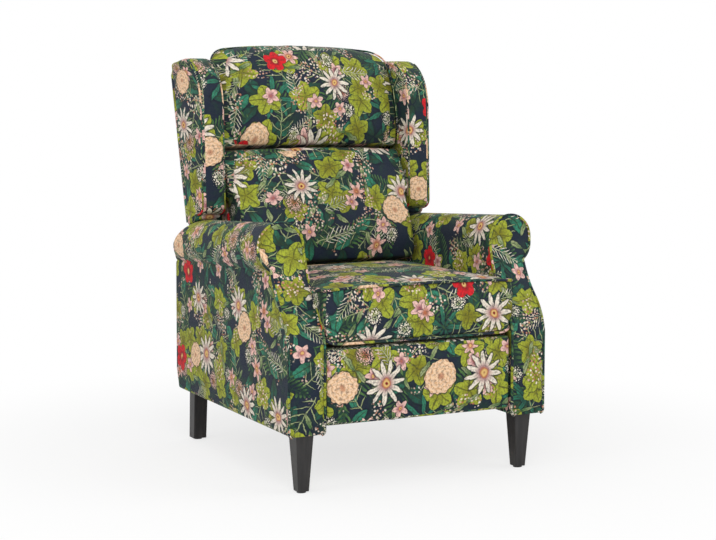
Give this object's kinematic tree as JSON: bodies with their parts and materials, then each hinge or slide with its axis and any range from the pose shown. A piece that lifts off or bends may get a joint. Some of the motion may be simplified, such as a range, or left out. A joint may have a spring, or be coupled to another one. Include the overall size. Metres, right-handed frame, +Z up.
{
  "type": "wingback recliner",
  "caption": "Push-back wingback armchair on tapered legs: rolled arms, boxed seat, pillow back with wings, and a padded footrest that swings out as the back reclines.",
  "frame": {"origin": "middle of the footprint at floor level, chair upright and footrest folded", "axes": "-Y towards the sitter's feet (front of the chair), +X to the sitter's left, +Z up"},
  "size_m": [0.7432, 0.7896, 1.0576],
  "materials": {
    "printed_cloth": null,
    "leg_wood": "satin black stained wood",
    "timber": "raw sawn frame timber",
    "black_steel": "black powder coat",
    "zinc_steel": "zinc plated",
    "spring_wire": "drawn spring wire",
    "webbing": "woven elastic webbing",
    "glide": "moulded plastic"
  },
  "bodies": {
    "base": {"glides": "glide", "front_left_leg": "leg_wood", "front_right_leg": "leg_wood", "rear_left_leg": "leg_wood", "rear_right_leg": "leg_wood", "leg_plates": "zinc_steel", "leg_bolts": "zinc_steel", "arm_bottom_rails": "timber", "arm_posts": "timber", "arm_top_rails": "timber", "left_arm_cover": "printed_cloth", "right_arm_cover": "printed_cloth", "left_arm_facing": "printed_cloth", "right_arm_facing": "printed_cloth", "front_cross_rail": "timber", "rear_cross_rail": "timber", "rear_apron": "printed_cloth", "base_rails": "black_steel", "base_rail_screws": "zinc_steel", "base_pins": "zinc_steel"},
    "front_swing": {"front_swing_links": "black_steel", "front_torsion_tube": "black_steel"},
    "rear_swing": {"rear_swing_links": "black_steel", "rear_torsion_tube": "black_steel"},
    "carriage": {"carriage_rails": "black_steel", "carriage_pins": "zinc_steel", "carriage_cross_tube": "black_steel", "left_seat_rail": "timber", "right_seat_rail": "timber", "front_seat_rail": "timber", "rear_seat_rail": "timber", "seat_springs": "spring_wire", "spring_clips": "zinc_steel", "seat_cushion": "printed_cloth"},
    "footrest_front": {"footrest_front_links": "black_steel", "footrest_front_pins": "zinc_steel"},
    "footrest_rear": {"footrest_rear_links": "black_steel"},
    "footrest_arm": {"footrest_arms": "black_steel", "footrest_arm_pins": "zinc_steel"},
    "footrest_tie": {"footrest_tie_links": "black_steel"},
    "footrest": {"footrest_brackets": "black_steel", "footrest_tie_pins": "zinc_steel", "footrest_board": "timber", "footrest_pad": "printed_cloth"},
    "back": {"back_bottom_rail": "timber", "back_middle_rail": "timber", "back_top_rail": "timber", "back_posts": "timber", "back_brackets": "black_steel", "back_bracket_bolts": "zinc_steel", "back_webbing": "webbing", "wing_panels": "timber", "left_wing_cover": "printed_cloth", "right_wing_cover": "printed_cloth", "outside_back": "printed_cloth", "lumbar_pillow": "printed_cloth", "head_pillow": "printed_cloth"},
    "back_drive": {"back_drive_links": "black_steel", "back_drive_pins": "zinc_steel"}
  },
  "joints": [
    {"name": "seat_glide", "type": "hinge", "parent": "base", "child": "front_swing", "pos_m": [0, -0.165, 0.212], "axis": [1, 0, 0], "range_deg": [0, 45]},
    {"name": "seat_level", "type": "hinge", "parent": "front_swing", "child": "carriage", "pos_m": [0, -0.08722, 0.28978], "axis": [1, 0, 0], "range_deg": [-45, 0]},
    {"name": "rear_swing", "type": "hinge", "parent": "base", "child": "rear_swing", "pos_m": [0, 0.125, 0.212], "axis": [1, 0, 0], "range_deg": [0, 45]},
    {"name": "back_recline", "type": "hinge", "parent": "carriage", "child": "back", "pos_m": [0, 0.225, 0.35], "axis": [1, 0, 0], "range_deg": [-25, 0]},
    {"name": "footrest_swing", "type": "hinge", "parent": "carriage", "child": "footrest_front", "pos_m": [0, -0.215, 0.325], "axis": [1, 0, 0], "range_deg": [-90, 0]},
    {"name": "footrest_rear_swing", "type": "hinge", "parent": "carriage", "child": "footrest_rear", "pos_m": [0, -0.155, 0.325], "axis": [1, 0, 0], "range_deg": [-90, 0]},
    {"name": "footrest_arm_turn", "type": "hinge", "parent": "footrest_front", "child": "footrest_arm", "pos_m": [0, -0.1476, 0.23555], "axis": [1, 0, 0], "range_deg": [0, 90]},
    {"name": "footrest_tie_turn", "type": "hinge", "parent": "footrest_front", "child": "footrest_tie", "pos_m": [0, -0.14156, 0.20617], "axis": [1, 0, 0], "range_deg": [0, 90]},
    {"name": "footrest_fold", "type": "hinge", "parent": "footrest_arm", "child": "footrest", "pos_m": [0, -0.283, 0.325], "axis": [1, 0, 0], "range_deg": [-90, 0]},
    {"name": "back_drive_turn", "type": "hinge", "parent": "rear_swing", "child": "back_drive", "pos_m": [0, 0.18078, 0.28978], "axis": [1, 0, 0], "range_deg": [-23, 0]}
  ],
  "couplings": [
    {"joint": "seat_level", "follows": "seat_glide", "ratio": -1},
    {"joint": "rear_swing", "follows": "seat_glide", "ratio": 1},
    {"joint": "back_recline", "follows": "seat_glide", "ratio": -0.55556},
    {"joint": "footrest_swing", "follows": "seat_glide", "ratio": -2},
    {"joint": "footrest_rear_swing", "follows": "seat_glide", "ratio": -2},
    {"joint": "footrest_arm_turn", "follows": "seat_glide", "ratio": 2},
    {"joint": "footrest_tie_turn", "follows": "seat_glide", "ratio": 2},
    {"joint": "footrest_fold", "follows": "seat_glide", "ratio": -2},
    {"joint": "back_drive_turn", "follows": "seat_glide", "ratio": -0.50667}
  ]
}
